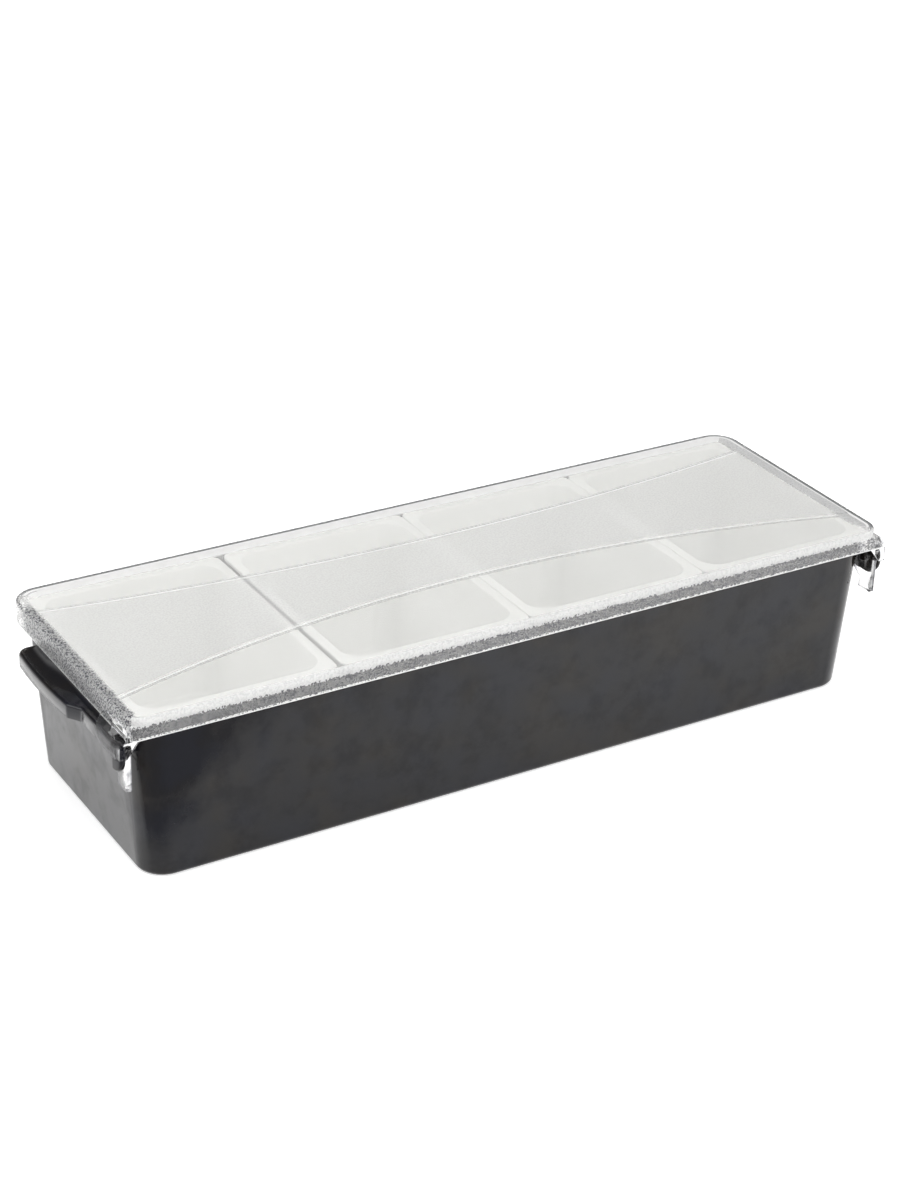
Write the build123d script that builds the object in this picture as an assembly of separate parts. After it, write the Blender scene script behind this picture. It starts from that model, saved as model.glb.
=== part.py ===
from build123d import *

import os

# A bar garnish tray: a black tub on which four white inserts hang by their rims, under
# one clear lid that snaps over a hinge arm at each end and swings up about the near side.
# Millimetres. X runs along the tray, -Y is the hinge side, and Z = 0 is what it stands on.

# Tub: the outside sizes are those of the rim, and the walls lean in towards the floor
tub_length = 470.0
tub_width = 151.4
tub_height = 96.7
tub_end_lean = 6.5
tub_side_lean = 2.9
tub_wall = 3.0
tub_floor = 3.2
tub_corner_radius = 16.0
tub_foot_radius = 3.5
tub_inner_chamfer = 4.0

# Grips: skirted ledges on both end walls, bowed outwards, narrowing to the hinge arms
grip_drop = 10.0
grip_depth = 8.0
grip_plate = 3.0
grip_lip = 2.4
grip_reach = 14.2
grip_bow = 1.8
grip_far_inset = 29.7
grip_near_inset = 54.2
grip_step_run = 7.5
grip_end_inset = 29.2
grip_far_radius = 7.0
grip_step_radius = 4.0
grip_edge_radius = 1.8

# Hinge: a round lobe at the front of each arm carries a stub pin that points inwards
pivot_inset = 11.34
pivot_drop = 16.2
lobe_radius = 9.7
lobe_heel = 8.0
lobe_back_run = 9.0
lobe_back_radius = 4.0
arm_thickness = 2.8
arm_edge_chamfer = 0.9
arm_overlap = 2.0
pin_radius = 3.0
pin_length = 4.2
pin_lead = 0.7
pin_clearance = 0.06

# Inserts: equal tubs side by side, each hanging by its rim on the rim of the big tub
insert_count = 4
insert_gap = 0.4
insert_play = 2.4
insert_shift = 2.0
insert_end_margin = 0.8
insert_side_margin = 1.2
insert_rim_thickness = 1.9
insert_rim_width = 6.2
insert_rim_side_width = 7.2
insert_rim_corner_radius = 7.0
insert_rim_edge_chamfer = 0.5
insert_mouth_radius = 12.0
insert_mouth_edge_chamfer = 1.0
insert_wall = 2.0
insert_floor_gap = 13.4
insert_lean = 4.3
insert_foot_chamfer = 3.5

# Lid: a shallow clear cap over the rims, with a frosted band between two arcs on its top
lid_wall = 2.2
lid_end_gap = 2.8
lid_side_gap = 0.94
lid_head_gap = 2.2
lid_height = 12.7
lid_far_radius = 15.0
lid_near_radius = 11.0
lid_edge_radius = 3.5
lid_inner_edge_chamfer = 1.0
band_rise = 0.5
band_margin = 4.0
band_near_y = -17.8
band_near_flare = 34.7
band_near_run = 4.0
band_far_y = 31.5
band_far_flare = 19.0
band_far_run = 0.6
notch_length = 80.0
notch_height = 5.0
notch_radius = 4.0

# Ears of the lid: a cover outside each arm and a leg with the pin hole inside it
leg_proud = 1.0
leg_thickness = 3.1
leg_gap = 0.4
leg_front_inset = 2.5
leg_step_drop = 4.6
leg_width = 15.8
tail_width = 10.4
tail_drop = 29.4
tail_length = 6.0
tail_shoulder_rise = 4.5
cover_gap = 0.4
cover_wall = 1.8
cover_front_wall = 1.3
cover_drop = 8.8
cover_roof_drop = 4.0
cover_roof_radius = 12.0
cover_length = 27.0
cover_back_run = 5.0
cover_corner_radius = 3.0
cover_web_inset = 6.0

# One overrun for every cut that has to pass right through a face, and how near counts as level
overrun = 1.0
touch = 0.01

# Places worked out from the sizes above
tub_end_slope = tub_end_lean / tub_height
tub_side_slope = tub_side_lean / tub_height
insert_body_height = tub_height - tub_floor - insert_floor_gap
insert_slope = insert_lean / insert_body_height

grip_top = tub_height - grip_drop
grip_bottom = grip_top - grip_depth
grip_x = tub_length / 2 + grip_reach
grip_far_y = tub_width / 2 - grip_far_inset
grip_near_y = grip_near_inset - tub_width / 2
grip_end_y = grip_end_inset - tub_width / 2

insert_rim_top = tub_height + insert_rim_thickness
insert_row = tub_length - 2 * insert_end_margin - insert_shift - insert_play
insert_pitch = (insert_row + insert_gap) / insert_count
insert_rim_length = insert_pitch - insert_gap
insert_rim_span = tub_width - 2 * insert_side_margin

lid_underside = insert_rim_top + lid_head_gap
lid_top = lid_underside + lid_wall
lid_bottom = lid_top - lid_height
lid_half_length = tub_length / 2 + lid_end_gap + lid_wall
lid_half_width = tub_width / 2 + lid_side_gap + lid_wall

pivot_y = -(lid_half_width - pivot_inset)
pivot_z = tub_height - pivot_drop
lobe_bottom = pivot_z - lobe_radius

leg_outer_x = lid_half_length + leg_proud
leg_inner_x = leg_outer_x - leg_thickness
arm_inner_x = leg_outer_x + leg_gap
arm_outer_x = arm_inner_x + arm_thickness

cover_inner_x = arm_outer_x + cover_gap
cover_outer_x = cover_inner_x + cover_wall
cover_front_y = -lid_half_width
cover_inner_front_y = cover_front_y + cover_front_wall
cover_back_y = cover_front_y + cover_length
cover_bottom = lid_bottom - cover_drop
cover_top = lid_top - cover_roof_drop
cover_ceiling = cover_top - cover_wall
cover_start_x = lid_half_length - lid_near_radius
tail_bottom = lid_bottom - tail_drop


def drafted_block(length, width, height, end_slope, side_slope, corner, top):
    """Block with its largest face on top, walls that lean in below it and round corners."""
    end_inset, side_inset = end_slope * height, side_slope * height
    block = Wedge(length, height, width, end_inset, side_inset, length - end_inset, width - side_inset,
                  align=(Align.CENTER, Align.MIN, Align.CENTER))
    block = Pos(0, 0, top) * Rot(-90, 0, 0) * block
    uprights = block.edges().filter_by(lambda edge: edge.bounding_box().size.Z > height / 2)
    return fillet(uprights, corner)


def box_between(low, high):
    """Box between two opposite corners."""
    size = [far - near for near, far in zip(low, high)]
    return Pos(*low) * Box(*size, align=(Align.MIN, Align.MIN, Align.MIN))


def side_plate(outline, start_x, thickness):
    """Plate whose outline, in Y and Z, is extruded along +X."""
    return Pos(start_x, 0, 0) * extrude(Plane.YZ * outline, thickness, dir=(1, 0, 0))


def front_plate(outline, start_y, thickness):
    """Plate whose outline, in X and Z, is extruded along +Y."""
    return Pos(0, start_y, 0) * extrude(Plane.XZ * outline, thickness, dir=(0, 1, 0))


def both_ends(piece):
    """The piece as built at the +X end, and its mirror image at the other end."""
    return piece + mirror(piece, about=Plane.YZ)


def edges_at(piece, height):
    """The edges that lie flat at one height."""
    return piece.edges().filter_by(lambda edge: max(abs(edge.bounding_box().min.Z - height),
                                                    abs(edge.bounding_box().max.Z - height)) < touch)


def grip():
    """Skirted ledge at the +X end: a plate with a lip that turns down round its free edge."""
    bow = ThreePointArc((grip_x, grip_far_y), (grip_x + grip_bow, (grip_far_y + grip_near_y) / 2),
                        (grip_x, grip_near_y))
    root_x = tub_length / 2 - tub_end_lean - 2 * grip_lip
    narrow_y = grip_near_y - grip_step_run
    rest = Polyline((grip_x, grip_near_y), (arm_outer_x, narrow_y), (arm_outer_x, grip_end_y),
                    (root_x, grip_end_y), (root_x, grip_far_y), (grip_x, grip_far_y))
    plan = make_face(Curve() + [bow, rest])
    far_corner = plan.vertices().sort_by_distance((grip_x, grip_far_y, 0))[0]
    plan = fillet(far_corner, grip_far_radius)
    for corner in ((grip_x, grip_near_y, 0), (arm_outer_x, narrow_y, 0)):
        plan = fillet(plan.vertices().sort_by_distance(corner)[0], grip_step_radius)
    block = Pos(0, 0, grip_bottom) * extrude(plan, grip_depth)
    free = [edge for edge in edges_at(block, grip_top) if edge.center().X > leg_inner_x]
    block = fillet(free, grip_edge_radius)
    hollow = extrude(offset(plan, -grip_lip), grip_depth - grip_plate + overrun)
    return block - Pos(0, 0, grip_bottom - overrun) * hollow


def hinge_arm():
    """Upright plate that runs from the ledge to the hinge lobe, with the stub pin on it."""
    root_y = grip_end_y + arm_overlap
    heel_y = pivot_y + lobe_heel
    back_y = heel_y + lobe_back_run
    side = Polygon((root_y, grip_top), (pivot_y, grip_top), (pivot_y, lobe_bottom), (heel_y, lobe_bottom),
                   (back_y, grip_bottom), (root_y, grip_bottom), align=None)
    for corner in ((heel_y, lobe_bottom, 0), (back_y, grip_bottom, 0)):
        side = fillet(side.vertices().sort_by_distance(corner)[0], lobe_back_radius)
    nose = Pos(pivot_y, pivot_z) * Circle(lobe_radius)
    above = Rectangle(2 * lobe_radius, 2 * lobe_radius, align=(Align.CENTER, Align.MIN))
    side = side + (nose - Pos(pivot_y, grip_top) * above)
    plate = side_plate(side, arm_inner_x, arm_thickness)
    outer = [edge for edge in plate.faces().sort_by(Axis.X)[-1].edges() if edge.center().Y < cover_back_y]
    plate = chamfer(outer, arm_edge_chamfer)
    pin = Cylinder(pin_radius, pin_length, align=(Align.CENTER, Align.CENTER, Align.MIN))
    pin = chamfer(pin.edges().sort_by(Axis.Z)[-1], pin_lead)
    return plate + Pos(arm_inner_x, pivot_y, pivot_z) * Rot(0, -90, 0) * pin


def make_tub():
    """Black tub with its grips and hinge arms in one moulding."""
    body = drafted_block(tub_length, tub_width, tub_height, tub_end_slope, tub_side_slope,
                         tub_corner_radius, tub_height)
    body = fillet(edges_at(body, 0), tub_foot_radius)
    hollow_length = tub_length - 2 * tub_wall + 2 * tub_end_slope * overrun
    hollow_width = tub_width - 2 * tub_wall + 2 * tub_side_slope * overrun
    hollow = drafted_block(hollow_length, hollow_width, tub_height - tub_floor + overrun, tub_end_slope,
                           tub_side_slope, tub_corner_radius - tub_wall, tub_height + overrun)
    hollow = chamfer(edges_at(hollow, tub_floor), tub_inner_chamfer)
    return body + both_ends(grip() + hinge_arm()) - hollow


def insert_centre(index):
    """Middle of an insert: all but the first are pushed up to the +X end of the tub."""
    start = insert_end_margin + insert_shift - tub_length / 2 + min(index, 1) * insert_play
    return start + index * insert_pitch + insert_rim_length / 2


def make_insert(centre_x):
    """White insert with a flat rim, drafted walls and an eased foot."""
    rim = extrude(RectangleRounded(insert_rim_length, insert_rim_span, insert_rim_corner_radius),
                  insert_rim_thickness)
    rim = chamfer(edges_at(rim, insert_rim_thickness), insert_rim_edge_chamfer)
    mouth_length = insert_rim_length - 2 * insert_rim_width
    mouth_span = insert_rim_span - 2 * insert_rim_side_width
    body = drafted_block(mouth_length + 2 * insert_wall, mouth_span + 2 * insert_wall, insert_body_height,
                         insert_slope, insert_slope, insert_mouth_radius + insert_wall, 0)
    body = chamfer(edges_at(body, -insert_body_height), insert_foot_chamfer)
    hollow = drafted_block(mouth_length, mouth_span, insert_body_height + insert_rim_thickness - insert_wall,
                           insert_slope, insert_slope, insert_mouth_radius, insert_rim_thickness)
    floor_height = insert_wall - insert_body_height
    hollow = chamfer(edges_at(hollow, floor_height), insert_foot_chamfer - insert_wall / 2)
    whole = rim + body - hollow
    mouth = [edge for edge in edges_at(whole, insert_rim_thickness)
             if abs(edge.center().X) < insert_rim_length / 2 - insert_rim_width / 2
             and abs(edge.center().Y) < insert_rim_span / 2 - insert_rim_width / 2]
    whole = chamfer(mouth, insert_mouth_edge_chamfer)
    return Pos(centre_x, 0, tub_height) * whole


def lid_plan(inset):
    """Outline of the lid, moved in by the inset, with tighter corners beside the hinge."""
    plan = Rectangle(2 * (lid_half_length - inset), 2 * (lid_half_width - inset))
    plan = fillet(plan.vertices().group_by(Axis.Y)[-1], lid_far_radius - inset)
    near = [corner for corner in plan.vertices() if corner.Y < 0]
    return fillet(near, lid_near_radius - inset)


def lid_hollow():
    """Space under the lid, open at the bottom."""
    space = extrude(lid_plan(lid_wall), lid_underside - lid_bottom + overrun)
    space = Pos(0, 0, lid_bottom - overrun) * space
    return chamfer(edges_at(space, lid_underside), lid_inner_edge_chamfer)


def band_outline(near_y, near_flare, far_y, far_flare):
    """Outline between two long arcs that swing apart towards the ends of the lid."""
    half = lid_half_length - band_margin
    near = ThreePointArc((-half, near_y - near_flare), (0, near_y), (half, near_y - near_flare))
    far = ThreePointArc((half, far_y + far_flare), (0, far_y), (-half, far_y + far_flare))
    ends = [Line(near @ 1, far @ 0), Line(far @ 1, near @ 0)]
    return make_face(Curve() + [near, far] + ends)


def frosted_band():
    """Band along the top, a little proud, whose near edge slopes down most in the middle."""
    foot = band_outline(band_near_y - band_near_run, band_near_flare - band_near_run,
                        band_far_y + band_far_run, band_far_flare)
    crest = band_outline(band_near_y, band_near_flare, band_far_y, band_far_flare)
    return Pos(0, 0, lid_top) * loft([foot, Pos(0, 0, band_rise) * crest], ruled=True)


def hood_form(bottom):
    """Outer form of an ear, from the given height up, with a rounded roof and front corner."""
    form = box_between((cover_start_x, cover_front_y, bottom), (cover_outer_x, cover_back_y, cover_top))
    roof_edge = form.edges().filter_by(Axis.Y).sort_by_distance((cover_outer_x, pivot_y, cover_top))[0]
    form = fillet(roof_edge, cover_roof_radius)
    corner = form.edges().filter_by(Axis.Z).sort_by_distance((cover_outer_x, cover_front_y, bottom))[0]
    return fillet(corner, cover_corner_radius)


def ear_cover():
    """Hood over the arm: front wall, rounded roof, and an outer wall whose back edge slants in."""
    hollow = box_between((cover_start_x - overrun, cover_inner_front_y, cover_bottom - overrun),
                         (cover_inner_x, cover_back_y + overrun, cover_ceiling))
    long_edges = hollow.edges().filter_by(Axis.Y)
    roof_edge = long_edges.sort_by_distance((cover_inner_x, pivot_y, cover_ceiling))[0]
    hollow = fillet(roof_edge, cover_roof_radius - cover_wall)
    back = Polygon((cover_back_y - cover_back_run, cover_bottom), (cover_back_y, lid_bottom),
                   (cover_back_y + overrun, lid_bottom), (cover_back_y + overrun, cover_bottom - overrun),
                   (cover_back_y - cover_back_run, cover_bottom - overrun), align=None)
    back = side_plate(back, cover_start_x, cover_outer_x - cover_start_x + overrun)
    return hood_form(cover_bottom) - hollow - back - front_wall_relief()


def front_wall_relief():
    """What the front wall leaves open below the skirt, with a slanted edge beside the leg."""
    past_x = cover_start_x - overrun
    past_z = cover_bottom - overrun
    face = Polygon((past_x, lid_bottom), (lid_half_length - cover_web_inset, lid_bottom),
                   (leg_outer_x, cover_bottom), (leg_outer_x, past_z), (past_x, past_z), align=None)
    return front_plate(face, cover_front_y - overrun, cover_front_wall + 2 * overrun)


def ear_leg():
    """Inner leg, joined to roof and front wall, with a narrow tail that swings under the ledge."""
    front_y = cover_front_y + leg_front_inset
    step_z = lid_bottom - leg_step_drop
    tail_y = front_y + tail_width
    back_y = front_y + leg_width
    shoulder_z = tail_bottom + tail_length
    side = Polygon((cover_front_y, cover_top), (cover_front_y, step_z), (front_y, step_z),
                   (front_y, tail_bottom), (tail_y, tail_bottom), (tail_y, shoulder_z),
                   (back_y, shoulder_z + tail_shoulder_rise), (back_y, cover_top), align=None)
    return side_plate(side, leg_inner_x, leg_thickness) & hood_form(tail_bottom)


def pin_hole():
    """Cutter for the hole that turns on the stub pin."""
    hole = Cylinder(pin_radius + pin_clearance, leg_thickness + 2 * overrun, rotation=(0, 90, 0))
    return Pos(leg_inner_x + leg_thickness / 2, pivot_y, pivot_z) * hole


def make_lid():
    """Clear lid: cap, frosted band, lifting notch in the far skirt, and a hinge ear at each end."""
    cap = Pos(0, 0, lid_bottom) * extrude(lid_plan(0), lid_height)
    cap = fillet(edges_at(cap, lid_top), lid_edge_radius)
    notch = RectangleRounded(notch_length, 2 * notch_height, notch_radius)
    notch = front_plate(notch, lid_half_width - lid_wall - overrun, lid_wall + 2 * overrun)
    ears = both_ends(ear_cover() + ear_leg())
    return cap + frosted_band() + ears - lid_hollow() - Pos(0, 0, lid_bottom) * notch - both_ends(pin_hole())


def write(name, piece):
    """Write one node as a STEP file and print what it measures."""
    box = piece.bounding_box()
    print(f"{name}: volume {piece.volume:.0f} mm3, x {box.min.X:.1f} to {box.max.X:.1f}, "
          f"y {box.min.Y:.1f} to {box.max.Y:.1f}, z {box.min.Z:.1f} to {box.max.Z:.1f}")
    export_step(piece, os.path.join("parts", name + ".step"))


os.makedirs("parts", exist_ok=True)
write("tub", make_tub())
write("lid", make_lid())
for index in range(insert_count):
    write(f"insert_{index + 1}", make_insert(insert_centre(index)))
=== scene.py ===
"""Looks of a bar garnish tray: a glossy black tub, white inserts and a clear, part frosted lid."""

import logging
import math
from dataclasses import dataclass, fields
from enum import Enum

import bpy
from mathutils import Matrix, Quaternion, Vector


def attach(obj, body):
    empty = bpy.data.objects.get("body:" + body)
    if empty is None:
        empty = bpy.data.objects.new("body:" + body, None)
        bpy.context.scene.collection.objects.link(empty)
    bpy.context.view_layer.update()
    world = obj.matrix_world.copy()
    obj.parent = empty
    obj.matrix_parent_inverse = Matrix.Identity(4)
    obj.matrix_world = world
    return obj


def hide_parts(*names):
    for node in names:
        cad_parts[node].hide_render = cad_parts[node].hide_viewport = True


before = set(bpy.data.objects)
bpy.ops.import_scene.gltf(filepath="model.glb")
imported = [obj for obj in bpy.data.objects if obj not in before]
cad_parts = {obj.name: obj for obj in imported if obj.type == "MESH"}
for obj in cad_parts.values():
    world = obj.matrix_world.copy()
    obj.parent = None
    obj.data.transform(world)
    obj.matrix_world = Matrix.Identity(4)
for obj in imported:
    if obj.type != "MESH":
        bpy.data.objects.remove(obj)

LOG = logging.getLogger("garnish_tray")
MM = 0.001
WHITE = "#ffffff"

Material = bpy.types.Material
Tree = bpy.types.NodeTree
Node = bpy.types.Node
Socket = bpy.types.NodeSocket
Sockets = bpy.types.NodeOutputs
# the value at which a mask is 0 and the value at which it is 1
Limits = tuple[float, float]
# a socket with its limits
Limited = tuple[Socket, float, float]


class Finish(Enum):
    """Material slots of the record, one for each kind of plastic."""

    TUB = "tub_black"
    LID = "lid_clear"
    INSERT = "insert_white"


def linear(hex_colour: str) -> tuple[float, float, float, float]:
    """Turn an sRGB hex colour into linear red, green, blue and alpha.

    Args:
        hex_colour: six hex digits after a hash sign.

    Returns:
        The colour as Blender's sockets take it.
    """
    toe, slope, shift, power = 0.04045, 12.92, 0.055, 2.4
    channels = [int(hex_colour[start:start + 2], 16) / 255 for start in (1, 3, 5)]
    values = [c / slope if c <= toe else ((c + shift) / (1 + shift)) ** power for c in channels]
    return values[0], values[1], values[2], 1.0


def put(tree: Tree, kind: str, inputs: dict | None = None, **settings) -> Node:
    """Add a shader node, set its options and fill or link its inputs.

    Args:
        tree: node tree that takes the node.
        kind: the node's type, as its identifier has it after the common prefix.
        inputs: a fixed value or an output socket for each input name or number.
        settings: the node's own options.

    Returns:
        The new node.
    """
    node = tree.nodes.new("ShaderNode" + kind)
    for name, value in settings.items():
        setattr(node, name, value)
    for name, value in (inputs or {}).items():
        if isinstance(value, Socket):
            tree.links.new(value, node.inputs[name])
        else:
            node.inputs[name].default_value = value
    return node


def fresh_material(name: str) -> tuple[Material, Tree, Socket]:
    """Make an empty node material with the place on the piece in millimetres.

    Args:
        name: what the material is called.

    Returns:
        The material, its node tree and the socket that gives the place.
    """
    material = bpy.data.materials.new(name)
    material.use_nodes = True
    tree = material.node_tree
    tree.nodes.clear()
    spot = put(tree, "TexCoord").outputs["Object"]
    place = put(tree, "VectorMath", {0: spot, "Scale": 1 / MM}, operation="SCALE").outputs[0]
    return material, tree, place


def passed(tree: Tree, limits: list[Limited]) -> Socket:
    """Build a mask that is 1 where every value has gone from its first limit past its second.

    Args:
        tree: node tree that takes the nodes.
        limits: each value with the limit that gives 0 and the limit that gives 1.

    Returns:
        The socket with the mask.
    """
    mask = None
    for value, none_at, all_at in limits:
        step = put(tree, "MapRange", {"Value": value, "From Min": none_at, "From Max": all_at},
                   interpolation_type="SMOOTHSTEP").outputs[0]
        if mask is None:
            mask = step
        else:
            mask = put(tree, "Math", {0: mask, 1: step}, operation="MULTIPLY").outputs[0]
    return mask


def let_light_past(tree: Tree, glass: Node, tint: str) -> None:
    """Finish a clear material, so that the lamps reach what lies under it.

    Args:
        tree: node tree that takes the nodes.
        glass: the clear shader.
        tint: what colour the light takes on the way.
    """
    clear = put(tree, "BsdfTransparent", {"Color": linear(tint)})
    shadow = put(tree, "LightPath").outputs["Is Shadow Ray"]
    surface = put(tree, "MixShader", {0: shadow, 1: glass.outputs[0], 2: clear.outputs[0]})
    put(tree, "OutputMaterial", {"Surface": surface.outputs[0]})


# The polished mould gives the eye a deep black with a smooth, even gloss over it. It hides no
# film or finger marks, so brown and blue clouds and duller patches show in that gloss. On the near
# wall the gloss is also painted weaker towards the left end and the top left corner: painted
# shade.
@dataclass(frozen=True)
class PolishedBlack:
    """ABS, moulded black in a polished tool, with brown and blue bloom and wiped smudges."""

    deep: str = "#111014"
    brown: str = "#1b1714"
    blue: str = "#12131b"
    bloom_mm: float = 30.0
    brown_noise: Limits = (0.5, 0.66)
    blue_noise: Limits = (0.5, 0.36)
    smudge_mm: float = 16.0
    smudge_noise: Limits = (0.42, 0.7)
    smudge_share: float = 0.25
    gloss_rough: float = 0.13
    smudge_rough: float = 0.27
    specular: float = 0.14
    coat: float = 0.67
    # painted shade: on the near wall the gloss is taken down towards the left end and the top left
    # corner
    smudged_and_shaded_coat: float = 0.0
    coat_rough: float = 0.15
    near_side_mm: Limits = (-66.0, -69.0)
    shaded_corner_mm: Limits = (-225.0, -305.0)
    sway_noise: Limits = (0.3, 0.7)
    sway_mm: float = 20.0
    shade_fade_mm: Limits = (80.0, -220.0)
    shade_fade_share: float = 0.25
    ripple_mm: float = 30.0
    ripple_height_mm: float = 0.03
    ior: float = 1.5

    def build(self) -> Material:
        """Build the tub's material.

        Returns:
            The material.
        """
        material, tree, place = fresh_material("abs_black_polished_mould")
        axes = put(tree, "SeparateXYZ", {0: place}).outputs
        # the release film left in the tool shows as brown and blue clouds
        bloom = put(tree, "TexNoise", {"Vector": place, "Scale": 1 / self.bloom_mm,
                                       "Detail": 4.0}).outputs[0]
        colour = linear(self.deep)
        for cloud, limits in ((self.brown, self.brown_noise), (self.blue, self.blue_noise)):
            colour = put(tree, "Mix", {0: passed(tree, [(bloom, *limits)]), 6: colour,
                                       7: linear(cloud)}, data_type="RGBA").outputs[2]
        # wiping leaves it rougher and duller in patches
        noise = put(tree, "TexNoise", {"Vector": place, "Scale": 1 / self.smudge_mm,
                                       "Detail": 5.0, "Roughness": 0.62}).outputs[0]
        smudge = passed(tree, [(noise, *self.smudge_noise)])
        rough = put(tree, "Mix", {0: smudge, 2: self.gloss_rough,
                                  3: self.smudge_rough}).outputs[0]
        # the weight of the gloss also carries the painted shade on the near wall
        coat = self.coat_with_painted_shade(tree, axes, bloom, smudge)
        ripple = put(tree, "TexNoise", {"Vector": place, "Scale": 1 / self.ripple_mm,
                                        "Detail": 1.0}).outputs[0]
        bump = put(tree, "Bump", {"Height": ripple, "Strength": 1.0,
                                  "Distance": self.ripple_height_mm * MM}).outputs[0]
        surface = put(tree, "BsdfPrincipled", {
            "Base Color": colour, "Roughness": rough, "IOR": self.ior, "Normal": bump,
            "Specular IOR Level": self.specular, "Coat Weight": coat,
            "Coat Roughness": self.coat_rough})
        put(tree, "OutputMaterial", {"Surface": surface.outputs[0]})
        return material

    def coat_with_painted_shade(self, tree: Tree, axes: Sockets, bloom: Socket, smudge: Socket) -> Socket:
        """Take the gloss down in the smudges, and on the near wall, as painted shade, towards its
        left end and its top left corner.

        Args:
            tree: node tree that takes the nodes.
            axes: the place in millimetres, axis by axis.
            bloom: the noise of the clouds, which makes the edge of the painted shade in the corner
                wander.
            smudge: the mask of the wiped patches.

        Returns:
            The socket with the weight of the gloss.
        """
        near_side = (axes["Y"], *self.near_side_mm)
        sway = put(tree, "MapRange", {"Value": bloom, "From Min": self.sway_noise[0],
                                      "From Max": self.sway_noise[1], "To Min": -self.sway_mm,
                                      "To Max": self.sway_mm}).outputs[0]
        lean = put(tree, "Math", {0: axes["Z"], 1: -1.0, 2: sway},
                   operation="MULTIPLY_ADD").outputs[0]
        reach = put(tree, "Math", {0: axes["X"], 1: lean}, operation="ADD").outputs[0]
        # painted shade: less gloss towards the near wall's top left corner
        smudge_and_shade = passed(tree, [(reach, *self.shaded_corner_mm), near_side])
        smudge_and_shade = put(tree, "Math", {0: smudge, 1: self.smudge_share, 2: smudge_and_shade},
                   operation="MULTIPLY_ADD").outputs[0]
        # painted shade: the near wall's gloss fades towards its left end
        shade_fade = passed(tree, [(axes["X"], *self.shade_fade_mm), near_side])
        smudge_and_shade = put(tree, "Math", {0: shade_fade, 1: self.shade_fade_share, 2: smudge_and_shade},
                   operation="MULTIPLY_ADD", use_clamp=True).outputs[0]
        return put(tree, "Mix", {0: smudge_and_shade, 2: self.coat, 3: self.smudged_and_shaded_coat}).outputs[0]


# The lightly blasted mould gives the eye a soft, even sheen with no mirror in it, on a white that
# is faintly cloudy. The blast is about 0.1 mm, and is drawn coarser so that it shows.
@dataclass(frozen=True)
class SatinWhite:
    """Polypropylene, moulded white in a lightly blasted tool."""

    body: str = "#f4f4f3"
    shade: str = "#f0f0ee"
    cloud_mm: float = 45.0
    cloud_noise: Limits = (0.35, 0.65)
    blast_mm: float = 0.7
    blast_height_mm: float = 0.006
    rough: float = 0.4
    ior: float = 1.49

    def build(self) -> Material:
        """Build the inserts' material.

        Returns:
            The material.
        """
        material, tree, place = fresh_material("polypropylene_white_satin")
        cloud = put(tree, "TexNoise", {"Vector": place, "Scale": 1 / self.cloud_mm,
                                       "Detail": 2.0}).outputs[0]
        colour = put(tree, "Mix", {0: passed(tree, [(cloud, *self.cloud_noise)]),
                                   6: linear(self.body), 7: linear(self.shade)},
                     data_type="RGBA").outputs[2]
        blast = put(tree, "TexNoise", {"Vector": place, "Scale": 1 / self.blast_mm,
                                       "Detail": 2.0}).outputs[0]
        bump = put(tree, "Bump", {"Height": blast, "Strength": 1.0,
                                  "Distance": self.blast_height_mm * MM}).outputs[0]
        surface = put(tree, "BsdfPrincipled", {"Base Color": colour, "Roughness": self.rough,
                                               "IOR": self.ior, "Normal": bump})
        put(tree, "OutputMaterial", {"Surface": surface.outputs[0]})
        return material


@dataclass(frozen=True)
class Zone:
    """How one zone of the lid looks, from its tool mark and, in some zones, from painted light and
    shade; stipple and fleck come and go with its grit.
    """

    clarity: float
    rough: float
    stipple: float = 0.0
    fleck: float = 0.0
    grey: float = 0.0
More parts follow.
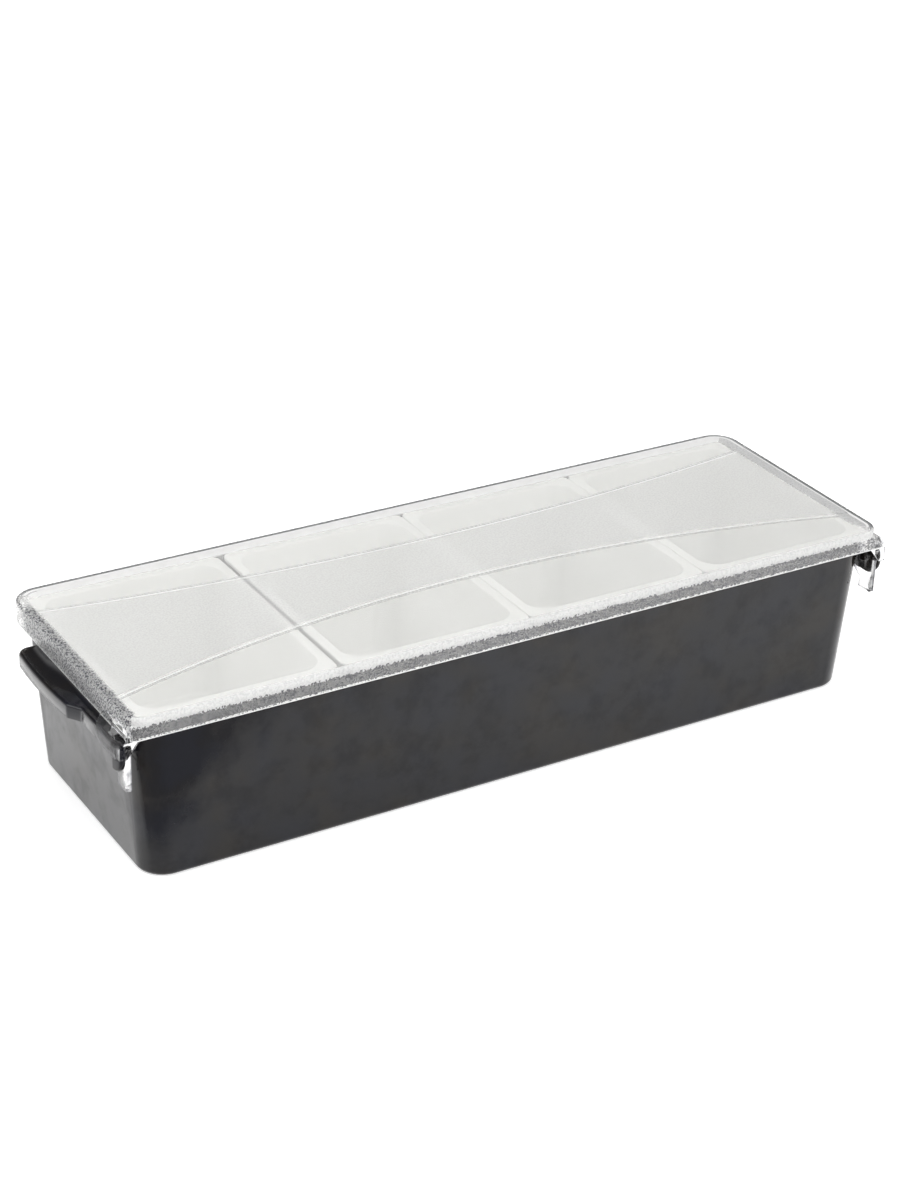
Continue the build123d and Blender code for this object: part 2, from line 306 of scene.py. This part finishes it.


# The clear plastic gives the eye what lies under it, as hazy as each zone's tool mark makes it:
# the plain windows a little, the blasted band evenly, the pebbled rows and skirt in light and
# dark grains. The real grains are about 0.5 mm across, and are drawn coarser so that they show.
# Some zones are painted light and shade instead: the white strip along the bottom edge and the
# white edge lines are painted highlights, the dark edge lines and the grey strips beside the arcs
# are painted shade, and the near skirt is painted clearer, and so darker, towards its left end.
@dataclass(frozen=True)
class ClearStyrene:
    """Clear SAN, moulded in a tool with polished, blasted and pebbled zones."""

    tint: str = "#fcfcfb"
    fleck_tint: str = "#4c4c54"
    ior: float = 1.35
    window: Zone = Zone(clarity=0.765, rough=0.03)
    band: Zone = Zone(clarity=0.6, rough=0.14, stipple=0.03, fleck=0.03, grey=0.12)
    ridge: Zone = Zone(clarity=0.45, rough=0.4, stipple=0.05)
    # painted shade: a grey strip beside each arc of the band, where the step at the arc darkens
    # the view
    arc_shade: Zone = Zone(clarity=0.7, rough=0.3, stipple=0.1, fleck=0.2, grey=0.28)
    right_margin: Zone = Zone(clarity=0.6, rough=0.3, stipple=0.08, fleck=0.15, grey=0.27)
    far_margin: Zone = Zone(clarity=0.45, rough=0.3)
    left_row: Zone = Zone(clarity=0.6, rough=0.3, stipple=0.5, fleck=1.0, grey=0.15)
    far_left: Zone = Zone(clarity=0.65, rough=0.25, stipple=0.08, fleck=0.15, grey=0.12)
    # painted highlight and painted shade: a white line, then a dark one for the dark refraction,
    # along the outer edge
    white_line: Zone = Zone(clarity=0.1, rough=0.3)
    dark_edge_shade: Zone = Zone(clarity=0.6, rough=0.3, fleck=0.1, grey=0.7)
    side: Zone = Zone(clarity=0.68, rough=0.3, stipple=0.35, fleck=0.8, grey=0.25)
    near_bead: Zone = Zone(clarity=0.3, rough=0.4, stipple=0.05, fleck=0.12, grey=0.13)
    near_skirt: Zone = Zone(clarity=0.8, rough=0.2, stipple=0.6, fleck=0.8, grey=0.1)
    # painted shade: the near skirt grows clearer towards the left end, so the black tub darkens it
    # there
    shaded_near_skirt_left: Zone = Zone(clarity=0.97, rough=0.15, stipple=0.35, fleck=0.8, grey=0.1)
    # painted highlight: the bottom edge of the skirt drawn opaque white, as a bright line
    lip_highlight: Zone = Zone(clarity=0.0, rough=0.3)
    grit_mm: float = 1.1
    grit_height_mm: float = 0.3
    stipple_noise: Limits = (0.4, 0.6)
    fleck_noise: Limits = (0.5, 0.42)
    ragged_noise: Limits = (0.35, 0.65)
    ragged_mm: float = 0.7
    half_length_mm: float = 240.0
    half_width_mm: float = 78.84
    near_radius_mm: float = 11.0
    far_radius_mm: float = 15.0
    middle_mm: Limits = (-1.0, 1.0)
    top_mm: float = 103.0
    bottom_mm: float = 90.3
    edge_mm: float = 1.1
    bead_mm: float = 5.0
    row_mm: float = 6.0
    margin_mm: float = 12.0
    margin_soft_mm: float = 1.0
    line_mm: float = 1.7
    lip_highlight_mm: float = 0.8
    far_left_x_mm: Limits = (-221.0, -229.0)
    far_left_y_mm: Limits = (53.0, 63.0)
    band_half_mm: float = 236.0
    near_mid_mm: float = -17.8
    near_flare_mm: float = 34.7
    far_mid_mm: float = 31.5
    far_flare_mm: float = 19.0
    ridge_mm: float = 1.6
    # where the strips along the arcs start, in widths of a ridge on the band's side
    near_ridge: float = -0.6
    near_arc_shade: float = -1.7
    far_ridge: float = 1.3
    far_arc_shade: float = -0.3
    soft_mm: float = 0.4

    def past_outline(self, tree: Tree, along: Socket, across: Socket, radius: Socket) -> Socket:
        """Measure how far a point lies past the lid's outline with its rounded corners.

        Args:
            tree: node tree that takes the nodes.
            along: how far the point lies past the straight end.
            across: how far the point lies past the straight side.
            radius: the radius of the corner on the point's side.

        Returns:
            The socket with the distance in millimetres, negative inside the outline.
        """
        past_x, past_y = (put(tree, "Math", {0: value, 1: radius}, operation="ADD").outputs[0]
                          for value in (along, across))
        corner = put(tree, "CombineXYZ", {0: past_x, 1: past_y}).outputs[0]
        outside = put(tree, "VectorMath", {0: corner, 1: (0, 0, 0)}, operation="MAXIMUM")
        reach = put(tree, "VectorMath", {0: outside.outputs[0]}, operation="LENGTH")
        inside = put(tree, "Math", {0: past_x, 1: past_y}, operation="MAXIMUM")
        inside = put(tree, "Math", {0: inside.outputs[0], 1: 0.0}, operation="MINIMUM")
        whole = put(tree, "Math", {0: reach.outputs["Value"], 1: inside.outputs[0]},
                    operation="ADD")
        return put(tree, "Math", {0: whole.outputs[0], 1: radius},
                   operation="SUBTRACT").outputs[0]

    def past_arc(self, tree: Tree, axes: Sockets, mid_mm: float, flare_mm: float) -> Socket:
        """Measure how far a point lies on the band's side of one of its two arcs.

        Args:
            tree: node tree that takes the nodes.
            axes: the place in millimetres, axis by axis.
            mid_mm: where the arc crosses the middle of the lid, along Y.
            flare_mm: how far its ends swing out; a minus sign swings them towards -Y.

        Returns:
            The socket with the distance in millimetres, positive in the band.
        """
        radius = (self.band_half_mm ** 2 + flare_mm ** 2) / (2 * abs(flare_mm))
        centre = Vector((0, mid_mm + math.copysign(radius, flare_mm), 0))
        flat = put(tree, "CombineXYZ", {0: axes["X"], 1: axes["Y"]}).outputs[0]
        away = put(tree, "VectorMath", {0: flat, 1: centre}, operation="DISTANCE")
        return put(tree, "Math", {0: away.outputs["Value"], 1: radius},
                   operation="SUBTRACT").outputs[0]

    def strip(self, tree: Tree, on_top: Limited, inside: Socket, start: float) -> Socket:
        """Mark a thin strip, as wide as a ridge, that runs along one of the band's arcs.

        Args:
            tree: node tree that takes the nodes.
            on_top: the limits that keep it on the lid's top.
            inside: how far a point lies on the band's side of the arc.
            start: where the strip starts, in its own widths on the band's side.

        Returns:
            The socket with the mask.
        """
        start_mm, soft = start * self.ridge_mm, self.soft_mm
        end_mm = start_mm - self.ridge_mm
        return passed(tree, [on_top, (inside, start_mm + soft, start_mm - soft),
                             (inside, end_mm - soft, end_mm + soft)])

    def zones(self, tree: Tree, axes: Sockets, grit: Socket) -> list[tuple[Socket, Zone]]:
        """Lay out the zones, each over those before it.

        Args:
            tree: node tree that takes the nodes.
            axes: the place in millimetres, axis by axis.
            grit: the noise that makes the edges of the pebbled zones ragged.

        Returns:
            A mask for each zone.
        """
        along = put(tree, "Math", {0: axes["X"]}, operation="ABSOLUTE").outputs[0]
        across = put(tree, "Math", {0: axes["Y"]}, operation="ABSOLUTE").outputs[0]
        past_end = put(tree, "Math", {0: along, 1: self.half_length_mm},
                       operation="SUBTRACT").outputs[0]
        past_side = put(tree, "Math", {0: across, 1: self.half_width_mm},
                        operation="SUBTRACT").outputs[0]
        side_more = put(tree, "Math", {0: past_side, 1: past_end},
                        operation="SUBTRACT").outputs[0]
        radius = put(tree, "Mix", {0: passed(tree, [(axes["Y"], *self.middle_mm)]),
                                   2: self.near_radius_mm, 3: self.far_radius_mm}).outputs[0]
        out = self.past_outline(tree, past_end, past_side, radius)
        high = axes["Z"]
        stray = put(tree, "MapRange", {"Value": grit, "From Min": self.ragged_noise[0],
                                       "From Max": self.ragged_noise[1],
                                       "To Min": -self.ragged_mm,
                                       "To Max": self.ragged_mm}).outputs[0]
        ragged_high = put(tree, "Math", {0: high, 1: stray}, operation="ADD").outputs[0]
        ragged_out = put(tree, "Math", {0: out, 1: stray}, operation="ADD").outputs[0]
        near = self.past_arc(tree, axes, self.near_mid_mm, -self.near_flare_mm)
        far = self.past_arc(tree, axes, self.far_mid_mm, self.far_flare_mm)
        in_band = put(tree, "Math", {0: near, 1: far}, operation="MINIMUM").outputs[0]

        soft, edge, line = self.soft_mm, self.edge_mm, self.line_mm
        fold = self.top_mm - self.bead_mm
        lip_highlight_top = self.bottom_mm + self.lip_highlight_mm
        on_top = (high, self.top_mm - soft, self.top_mm - soft / 2)
        on_side = (out, -edge - soft, -edge)
        at_left, at_right = (axes["X"], 0.0, -soft), (axes["X"], 0.0, soft)
        at_near, at_far = (axes["Y"], 0.0, -soft), (axes["Y"], 0.0, soft)
        at_end, at_side = (side_more, 0.0, -soft), (side_more, -soft, 0.0)
        at_far_left = [(axes["X"], *self.far_left_x_mm), (axes["Y"], *self.far_left_y_mm)]
        on_near_side = [on_side, at_near, at_side]
        above_fold, below_fold = (ragged_high, fold - soft, fold), (ragged_high, fold, fold - soft)
        below_edge = (high, self.top_mm - edge, self.top_mm - edge - soft)
        margin = (-self.margin_mm - self.margin_soft_mm, -self.margin_mm + self.margin_soft_mm)
        row = (-self.row_mm - soft, -self.row_mm + soft)
        white = (out, -edge - 2 * line - soft, -edge - 2 * line)
        dark = [(out, -edge - line - soft, -edge - line), (out, 0.0, -soft)]

        zones = [
            (passed(tree, [on_top, (in_band, -soft, 0.0)]), self.band),
            # grey strips of painted shade run beside the near and the far arc
            (self.strip(tree, on_top, near, self.near_ridge), self.ridge),
            (self.strip(tree, on_top, near, self.near_arc_shade), self.arc_shade),
            (self.strip(tree, on_top, far, self.far_ridge), self.ridge),
            (self.strip(tree, on_top, far, self.far_arc_shade), self.arc_shade),
            (passed(tree, [on_top, at_right, at_end, (ragged_out, *margin)]), self.right_margin),
            (passed(tree, [on_top, at_far, at_side, (out, *margin)]), self.far_margin),
            (passed(tree, [on_top, at_left, at_end, (ragged_out, *row)]), self.left_row),
            (passed(tree, [on_top, *at_far_left, (out, *row)]), self.far_left),
        ]
        # a painted highlight line and a painted shade line along the right end and the far side
        for where in ([at_right, at_end], [at_far, at_side]):
            zones += [(passed(tree, [on_top, *where, white]), self.white_line),
                      (passed(tree, [on_top, *where, *dark]), self.dark_edge_shade)]
        return zones + [
            (passed(tree, [on_side]), self.side),
            (passed(tree, [on_side, *at_far_left, below_edge]), self.far_left),
            (passed(tree, [*on_near_side, above_fold]), self.near_bead),
            (passed(tree, [*on_near_side, below_fold]), self.near_skirt),
            # painted shade: the near skirt clearer, and so darker, towards its left end
            (passed(tree, [*on_near_side, below_fold, (axes["X"], 0.0, -self.half_length_mm)]),
             self.shaded_near_skirt_left),
            # painted highlight along the bottom edge of the skirt
            (passed(tree, [(high, lip_highlight_top, lip_highlight_top - soft)]), self.lip_highlight),
        ]

    def build(self) -> Material:
        """Build the lid's material.

        Returns:
            The material.
        """
        material, tree, place = fresh_material("san_clear_textured_mould")
        axes = put(tree, "SeparateXYZ", {0: place}).outputs
        grit = put(tree, "TexNoise", {"Vector": place, "Scale": 1 / self.grit_mm,
                                      "Detail": 1.0, "Roughness": 0.6}).outputs[0]
        marks = {mark.name: getattr(self.window, mark.name) for mark in fields(Zone)}
        for mask, zone in self.zones(tree, axes, grit):
            for mark, before in marks.items():
                marks[mark] = put(tree, "Mix", {0: mask, 2: before,
                                                3: getattr(zone, mark)}).outputs[0]
        swing = put(tree, "MapRange", {"Value": grit, "From Min": self.stipple_noise[0],
                                       "From Max": self.stipple_noise[1],
                                       "To Min": -1.0}).outputs[0]
        clarity = put(tree, "Math", {0: swing, 1: marks["stipple"], 2: marks["clarity"]},
                      operation="MULTIPLY_ADD", use_clamp=True).outputs[0]
        fleck = passed(tree, [(grit, *self.fleck_noise)])
        dark = put(tree, "Math", {0: fleck, 1: marks["fleck"], 2: marks["grey"]},
                   operation="MULTIPLY_ADD", use_clamp=True).outputs[0]
        colour = put(tree, "Mix", {0: dark, 6: linear(self.tint), 7: linear(self.fleck_tint)},
                     data_type="RGBA").outputs[2]
        height = put(tree, "Math", {0: grit, 1: marks["stipple"]},
                     operation="MULTIPLY").outputs[0]
        bump = put(tree, "Bump", {"Height": height, "Strength": 1.0,
                                  "Distance": self.grit_height_mm * MM}).outputs[0]
        glass = put(tree, "BsdfPrincipled", {
            "Base Color": colour, "IOR": self.ior, "Roughness": marks["rough"],
            "Transmission Weight": clarity, "Normal": bump})
        let_light_past(tree, glass, self.tint)
        return material


# The mirror polished part of the tool gives the eye almost nothing where it is faced, so that the
# black arm shows through. Where its faces are seen at a slant it is painted grey, a painted shade
# outline that stands in for the dark refraction at a clear edge.
@dataclass(frozen=True)
class PolishedStyrene:
    """Clear SAN, moulded in a mirror polished part of the tool, as the hinge ears are."""

    tint: str = "#fcfcfc"
    slant_shade_tint: str = "#85858c"
    slant: Limits = (0.6, 0.9)
    clarity: float = 1.0
    left_tail_clarity_with_sheen: float = 0.8
    right_tail_clarity: float = 0.91
    middle_mm: Limits = (0.0, -1.0)
    tail_mm: Limits = (70.0, 68.0)
    ior: float = 1.14
    rough: float = 0.02
    wave_mm: float = 9.0
    wave_height_mm: float = 0.02

    def build(self) -> Material:
        """Build the ears' material.

        Returns:
            The material.
        """
        material, tree, place = fresh_material("san_clear_polished_mould")
        wave = put(tree, "TexNoise", {"Vector": place, "Scale": 1 / self.wave_mm,
                                      "Detail": 1.0}).outputs[0]
        bump = put(tree, "Bump", {"Height": wave, "Strength": 1.0,
                                  "Distance": self.wave_height_mm * MM}).outputs[0]
        # painted shade: grey where the faces are seen at a slant
        facing = put(tree, "LayerWeight", {"Blend": 0.5}).outputs["Facing"]
        colour = put(tree, "Mix", {0: passed(tree, [(facing, *self.slant)]),
                                   6: linear(self.tint), 7: linear(self.slant_shade_tint)},
                     data_type="RGBA").outputs[2]
        # the tails are a little milky; the left one is drawn milkier still, a painted sheen for
        # the light it catches over the black arm
        axes = put(tree, "SeparateXYZ", {0: place}).outputs
        tail = passed(tree, [(axes["Z"], *self.tail_mm)])
        milky = put(tree, "Mix", {0: passed(tree, [(axes["X"], *self.middle_mm)]),
                                  2: self.right_tail_clarity,
                                  3: self.left_tail_clarity_with_sheen}).outputs[0]
        clarity = put(tree, "Mix", {0: tail, 2: self.clarity, 3: milky}).outputs[0]
        glass = put(tree, "BsdfPrincipled", {
            "Base Color": colour, "IOR": self.ior, "Roughness": self.rough,
            "Transmission Weight": clarity, "Normal": bump})
        let_light_past(tree, glass, self.tint)
        return material


@dataclass(frozen=True)
class Lamp:
    """A soft square lamp."""

    name: str
    place: tuple[float, float, float]
    aim: tuple[float, float, float]
    size: float
    power: float

    def build(self) -> None:
        """Hang the lamp."""
        data = bpy.data.lights.new(self.name, "AREA")
        data.size = self.size
        data.energy = self.power
        lamp = bpy.data.objects.new(self.name, data)
        bpy.context.scene.collection.objects.link(lamp)
        lamp.location = self.place
        lamp.rotation_mode = "QUATERNION"
        look = Vector(self.aim) - Vector(self.place)
        lamp.rotation_quaternion = look.to_track_quat("-Z", "Y")
        lamp.visible_camera = False


@dataclass(frozen=True)
class Studio:
    """White sweep under a dark ceiling, soft lamps, and the camera of the photograph."""

    floor_half: float = 20.0
    floor_colour: str = "#f2f2f2"
    floor_rough: float = 0.9
    floor_lift: float = 0.5
    gloss_share: float = 0.8
    world_fill: float = 0.5
    ceiling: float = 0.12
    ceiling_height: Limits = (0.12, 0.45)
    lamps: tuple[Lamp, ...] = (
        Lamp("key_left", place=(-1.6, 0.4, 1.2), aim=(-0.2, 0, 0.05), size=1.2, power=11.0),
        Lamp("soft_top", place=(0.2, 0.3, 1.8), aim=(0, 0, 0.1), size=2.0, power=6.0),
        Lamp("front_top", place=(-0.3, -1.4, 1.5), aim=(0, 0, 0.08), size=1.6, power=17.5),
        Lamp("front_right", place=(1.2, -1.5, 0.8), aim=(0.1, -0.1, 0.05), size=1.0, power=6.0),
    )
    place: tuple[float, float, float] = (-0.68785, -1.10728, 0.75760)
    target: tuple[float, float, float] = (0.030943, 0.059641, 0.0422)
    roll_deg: float = 1.958
    lens_mm: float = 77.61
    sensor_mm: float = 36.0

    def seen_directly(self, tree: Tree) -> Socket:
        """Mark the rays that see the background straight, in gloss or through glass.

        Args:
            tree: node tree that takes the nodes.

        Returns:
            A socket that is 1 for these rays.
        """
        path = put(tree, "LightPath").outputs
        seen = put(tree, "Math", {0: path["Is Camera Ray"], 1: path["Is Glossy Ray"]},
                   operation="MAXIMUM").outputs[0]
        return put(tree, "Math", {0: seen, 1: path["Is Transmission Ray"]},
                   operation="MAXIMUM").outputs[0]

    def build_floor(self) -> None:
        """Lay the white floor."""
        bpy.ops.object.select_all(action="DESELECT")
        bpy.ops.mesh.primitive_plane_add(size=2 * self.floor_half, location=(0, 0, 0))
        floor = bpy.context.object
        floor.name = "floor"
        # matt paper shows no gloss and no edge, only the tray's soft shadow
        material, tree, _ = fresh_material("paper_white_sweep")
        in_gloss = put(tree, "LightPath").outputs["Is Glossy Ray"]
        share = put(tree, "Mix", {0: in_gloss, 2: self.floor_lift,
                                  3: self.floor_lift * self.gloss_share}).outputs[0]
        lift = put(tree, "Math", {0: self.seen_directly(tree), 1: share},
                   operation="MULTIPLY").outputs[0]
        paper = put(tree, "BsdfPrincipled", {
            "Base Color": linear(self.floor_colour), "Roughness": self.floor_rough,
            "Specular IOR Level": 0.0, "Emission Color": linear(WHITE),
            "Emission Strength": lift})
        put(tree, "OutputMaterial", {"Surface": paper.outputs[0]})
        floor.data.materials.append(material)

    def build_world(self) -> None:
        """Surround the tray with white, dimmed overhead where gloss mirrors it."""
        world = bpy.data.worlds.new("white_studio")
        bpy.context.scene.world = world
        world.use_nodes = True
        tree = world.node_tree
        tree.nodes.clear()
        way = put(tree, "TexCoord").outputs["Generated"]
        height = put(tree, "SeparateXYZ", {0: way}).outputs["Z"]
        in_gloss = put(tree, "LightPath").outputs["Is Glossy Ray"]
        dim = put(tree, "Math", {0: passed(tree, [(height, *self.ceiling_height)]), 1: in_gloss},
                  operation="MULTIPLY").outputs[0]
        seen = put(tree, "Mix", {0: dim, 2: 1.0, 3: self.ceiling}).outputs[0]
        strength = put(tree, "Mix", {0: self.seen_directly(tree), 2: self.world_fill,
                                     3: seen}).outputs[0]
        back = put(tree, "Background", {"Color": linear(WHITE), "Strength": strength})
        put(tree, "OutputWorld", {"Surface": back.outputs[0]})

    def build_camera(self) -> None:
        """Stand the camera at the photograph's viewpoint."""
        data = bpy.data.cameras.new("photo_view")
        data.lens = self.lens_mm
        data.sensor_width = self.sensor_mm
        data.sensor_fit = "AUTO"
        data.clip_end = 2 * self.floor_half
        camera = bpy.data.objects.new("photo_view", data)
        bpy.context.scene.collection.objects.link(camera)
        camera.location = self.place
        look = Vector(self.target) - Vector(self.place)
        camera.rotation_mode = "QUATERNION"
        tilt = Quaternion((0, 0, 1), math.radians(self.roll_deg))
        camera.rotation_quaternion = look.to_track_quat("-Z", "Y") @ tilt
        bpy.context.scene.camera = camera

    def build(self) -> None:
        """Set up camera, world, floor and lamps."""
        bpy.context.scene.view_settings.view_transform = "Standard"
        self.build_camera()
        self.build_world()
        self.build_floor()
        for lamp in self.lamps:
            lamp.build()


@dataclass(frozen=True)
class Moulding:
    """One moulded piece: a merged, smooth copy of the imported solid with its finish."""

    node: str
    body: str
    finish: Finish
    name: str
    merge: float = 0.00001
    smooth_deg: float = 50.0

    def build(self, *materials: Material) -> bpy.types.Object:
        """Copy the solid, merge its triangles and dress it.

        Args:
            materials: the finish of the piece, and where it has polished parts, theirs.

        Returns:
            The new piece.
        """
        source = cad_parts[self.node]
        piece = bpy.data.objects.new(self.name, source.data.copy())
        bpy.context.scene.collection.objects.link(piece)
        bpy.ops.object.select_all(action="DESELECT")
        piece.select_set(True)
        bpy.context.view_layer.objects.active = piece
        bpy.ops.object.mode_set(mode="EDIT")
        bpy.ops.mesh.select_all(action="SELECT")
        bpy.ops.mesh.remove_doubles(threshold=self.merge)
        bpy.ops.object.mode_set(mode="OBJECT")
        self.shape(piece.data)
        bpy.ops.object.shade_smooth_by_angle(angle=math.radians(self.smooth_deg))
        soft = piece.modifiers.new("soft_edges", "WEIGHTED_NORMAL")
        soft.mode = "FACE_AREA_WITH_ANGLE"
        soft.keep_sharp = True
        bpy.ops.object.modifier_apply(modifier=soft.name)
        piece.data.materials.clear()
        for material in materials:
            piece.data.materials.append(material)
        for face in piece.data.polygons:
            face.material_index = int(self.polished(face.center))
        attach(piece, self.body)
        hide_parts(self.node)
        LOG.info("%s: %d faces", self.name, len(piece.data.polygons))
        return piece

    def shape(self, mesh: bpy.types.Mesh) -> None:
        """Leave the mesh as it is; a piece with a form of its own changes it here."""

    def polished(self, spot: Vector) -> bool:
        """Tell whether a place takes the second finish; a plain piece has none."""
        return False


@dataclass(frozen=True)
class LidMoulding(Moulding):
    """The lid, whose top edge is drawn crisper than the solid's, and whose ears are polished."""

    half_length: float = 0.24
    half_width: float = 0.07884
    near_radius: float = 0.011
    far_radius: float = 0.015
    top: float = 0.103
    solid_edge: float = 0.0035
    crisp_edge: float = 0.001
    reach: float = 0.00015
    ear_from: float = 0.2405
    ear_below: float = 0.09

    def shape(self, mesh: bpy.types.Mesh) -> None:
        """Draw the rounded top edge out to a smaller radius.

        Args:
            mesh: the lid's own mesh.
        """
        for vertex in mesh.vertices:
            place = vertex.co
            radius = self.far_radius if place.y > 0 else self.near_radius
            corner = Vector((abs(place.x) - self.half_length + radius,
                             abs(place.y) - self.half_width + radius))
            if max(corner) <= 0:
                continue
            away = Vector((max(corner.x, 0), max(corner.y, 0)))
            out = away.length - radius
            arm = Vector((out + self.solid_edge, place.z - self.top + self.solid_edge))
            if min(arm) < -self.reach or abs(arm.length - self.solid_edge) > self.reach:
                continue
            arm = arm.normalized() * self.crisp_edge
            push = away.normalized() * (arm.x - self.crisp_edge - out)
            place.x += math.copysign(push.x, place.x)
            place.y += math.copysign(push.y, place.y)
            place.z = self.top - self.crisp_edge + arm.y

    def polished(self, spot: Vector) -> bool:
        """Tell whether a place lies on an ear, past the skirt or below it."""
        return abs(spot.x) > self.ear_from or spot.z < self.ear_below


def main() -> None:
    """Build the studio and dress every piece of the tray."""
    logging.basicConfig(level=logging.INFO, format="%(name)s %(message)s")
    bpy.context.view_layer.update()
    Studio().build()
    materials = {Finish.TUB: [PolishedBlack().build()], Finish.INSERT: [SatinWhite().build()],
                 Finish.LID: [ClearStyrene().build(), PolishedStyrene().build()]}
    mouldings = [Moulding("tub", "tub", Finish.TUB, "tub_moulding"),
                 LidMoulding("lid", "lid", Finish.LID, "lid_moulding")]
    inserts = sorted(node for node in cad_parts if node.startswith("insert"))
    mouldings += [Moulding(node, node, Finish.INSERT, node + "_moulding") for node in inserts]
    for moulding in mouldings:
        moulding.build(*materials[moulding.finish])


if __name__ == "__main__":
    main()
